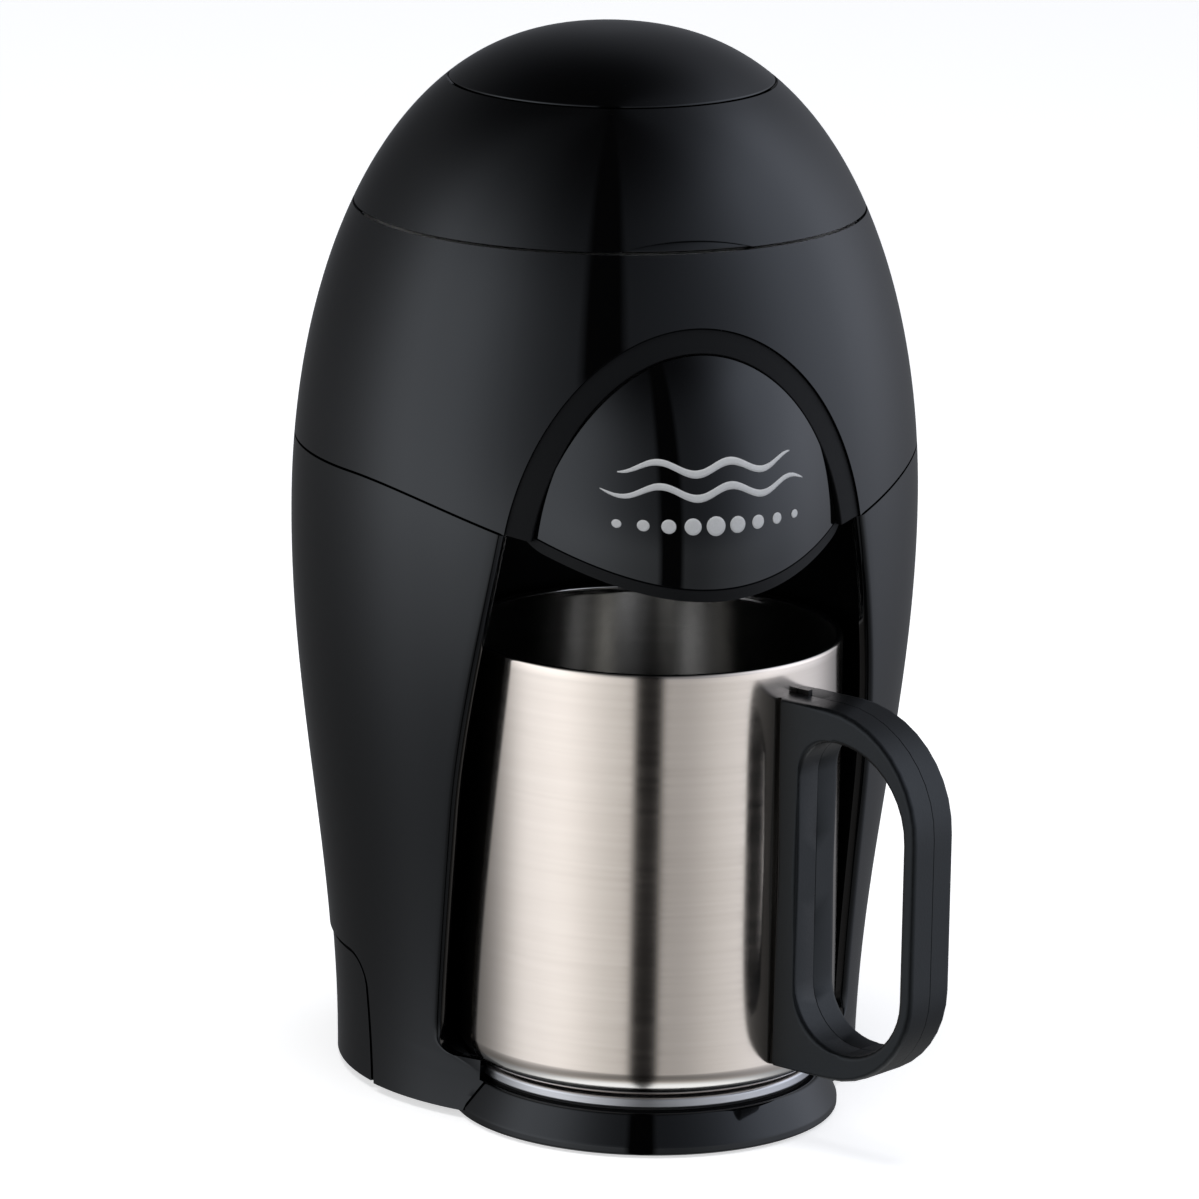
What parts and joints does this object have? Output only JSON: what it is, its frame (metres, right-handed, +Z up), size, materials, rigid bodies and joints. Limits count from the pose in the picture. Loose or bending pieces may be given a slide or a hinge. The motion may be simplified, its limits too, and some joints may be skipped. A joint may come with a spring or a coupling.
{
  "type": "drip coffee maker",
  "caption": "One-cup drip coffee maker: egg-shaped gloss black body with an open front bay, domed nose, hinged lid, lift-out filter and a straight steel mug with a D-shaped handle.",
  "frame": {"origin": "on the table, under the middle of the machine's outer box with the mug in its place", "axes": "+X to the right as seen from the front; +Y to the back, where the lid hinge and the switch are; +Z up"},
  "size_m": [0.125, 0.159, 0.2114],
  "materials": {
    "gloss_black": "high gloss moulded black",
    "satin_black": "satin moulded black",
    "handle_black": "fine satin grain",
    "rocker_black": "semi gloss",
    "black_rubber": "matt",
    "pale_silicone": "matt translucent look",
    "tank_plastic": "natural grey",
    "basket_black": "satin",
    "filter_grey": "satin",
    "mesh_steel": "fine woven",
    "mug_steel": "fine brushing round the cup",
    "strap_steel": "blackened",
    "plate_aluminium": "satin silver",
    "heater_aluminium": "drawn tube",
    "rod_steel": "dark heat-tinted",
    "steel_parts": "plated",
    "thermostat_ceramic": "fired look",
    "fuse_brass": "plain",
    "terminal_white": "plain",
    "wire_sleeve": "woven sleeve"
  },
  "bodies": {
    "housing": {"lower_housing": "gloss_black", "upper_housing": "gloss_black", "nose_panel": "gloss_black", "rear_skirt": "gloss_black", "base_skirt": "gloss_black", "brew_head": "satin_black", "bottom_cover": "satin_black", "switch_frame": "satin_black", "cord_gland": "black_rubber", "feet": "black_rubber", "plate_gasket": "black_rubber", "inlet_hose": "pale_silicone", "outlet_hose": "pale_silicone", "water_tank": "tank_plastic", "riser_pipe": "heater_aluminium", "outlet_elbow": "tank_plastic", "valve_cage": "tank_plastic", "hinge_pin": "steel_parts", "cover_screws": "steel_parts", "hose_clamps": "steel_parts", "mug_plate": "plate_aluminium", "heater_tube": "heater_aluminium", "heating_rod": "rod_steel", "heater_bracket": "steel_parts", "thermostat": "thermostat_ceramic", "thermal_fuse": "fuse_brass", "terminal_block": "terminal_white", "switch_wire": "wire_sleeve", "heater_wire": "wire_sleeve"},
    "lid": {"lid_shell": "gloss_black", "lid_cap": "gloss_black", "lid_inner_plate": "tank_plastic", "lid_gasket": "pale_silicone"},
    "rocker": {"switch_rocker": "rocker_black"},
    "basket": {"filter_basket": "basket_black"},
    "filter": {"filter_frame": "filter_grey", "filter_mesh": "mesh_steel"},
    "ball": {"valve_ball": "steel_parts"},
    "mug": {"mug_cup": "mug_steel", "handle_half_left": "handle_black", "handle_half_right": "handle_black", "handle_strap": "strap_steel", "handle_screws": "steel_parts"}
  },
  "joints": [
    {"name": "lid_hinge", "type": "hinge", "parent": "housing", "child": "lid", "pos_m": [0, 0.06917, 0.1772], "axis": [-1, 0, 0], "range_deg": [0, 100]},
    {"name": "rocker_tilt", "type": "hinge", "parent": "housing", "child": "rocker", "pos_m": [0, 0.06797, 0.0145], "axis": [0, 0, 1], "range_deg": [0, 16]},
    {"name": "basket_lift", "type": "slide", "parent": "housing", "child": "basket", "axis": [0, 0, 1], "range_m": [0, 0.006]},
    {"name": "filter_lift", "type": "slide", "parent": "basket", "child": "filter", "axis": [0, 0, 1], "range_m": [0, 0.006]},
    {"name": "ball_lift", "type": "slide", "parent": "housing", "child": "ball", "axis": [0, 0, 1], "range_m": [0, 0.0034]},
    {"name": "mug_slide", "type": "slide", "parent": "housing", "child": "mug", "axis": [0, -1, 0], "range_m": [0, 0.12]}
  ]
}
